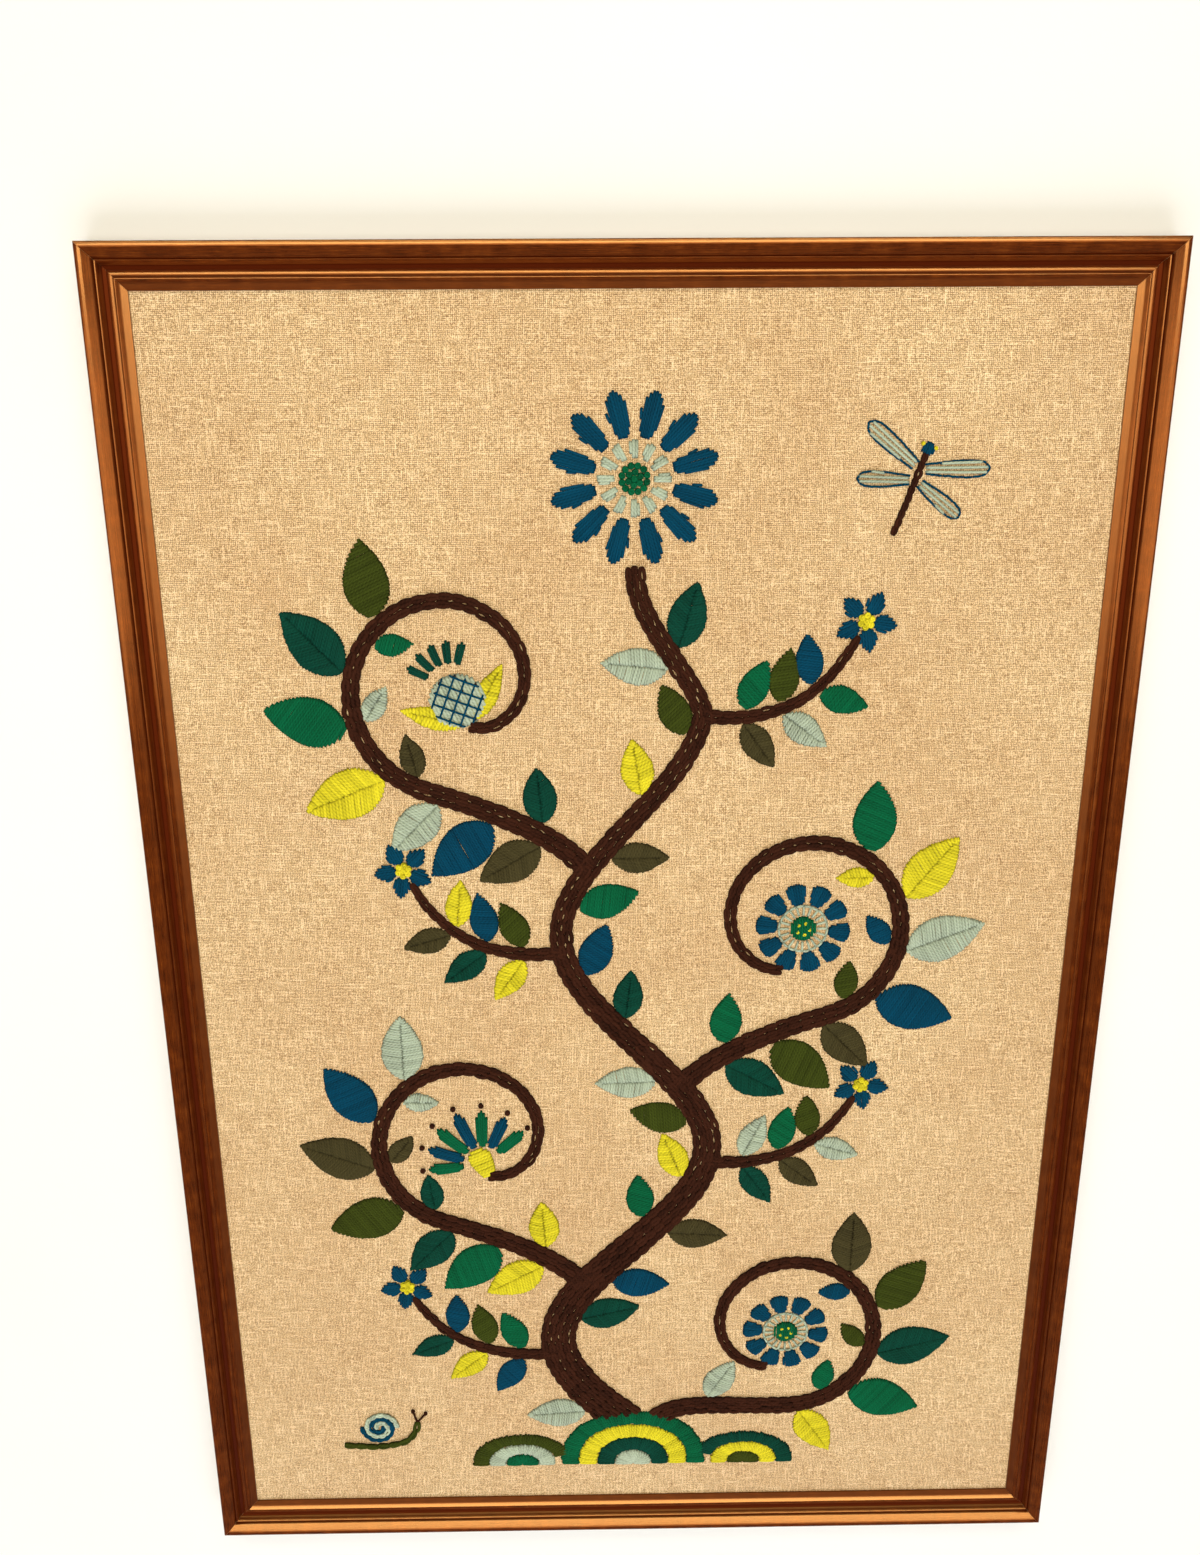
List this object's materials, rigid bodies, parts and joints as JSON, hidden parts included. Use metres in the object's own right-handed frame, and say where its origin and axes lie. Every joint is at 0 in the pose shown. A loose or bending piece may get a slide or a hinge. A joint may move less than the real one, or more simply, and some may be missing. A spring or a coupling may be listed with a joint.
{
  "type": "crewel embroidery panel in a moulded wooden frame",
  "caption": "Flat upright linen panel with raised wool stitching of a winding vine, stretched over a board in a mitred moulded wooden frame.",
  "frame": {"origin": "on the ground plane under the middle of the panel, which lies on its back", "axes": "+Z out of the picture's face, +Y to the picture's top, +X to its right"},
  "size_m": [0.5528, 0.8068, 0.0185],
  "materials": {
    "frame_wood": "stained reddish brown, satin, with darker grooves and rubbed golden edges",
    "linen": "plain-woven natural linen with slubs, stitched in wool",
    "board": "plain hardboard, matt"
  },
  "bodies": {
    "root": {"rail_top": "frame_wood", "rail_bottom": "frame_wood", "rail_left": "frame_wood", "rail_right": "frame_wood", "embroidered_linen": "linen", "backing_board": "board"}
  },
  "joints": []
}
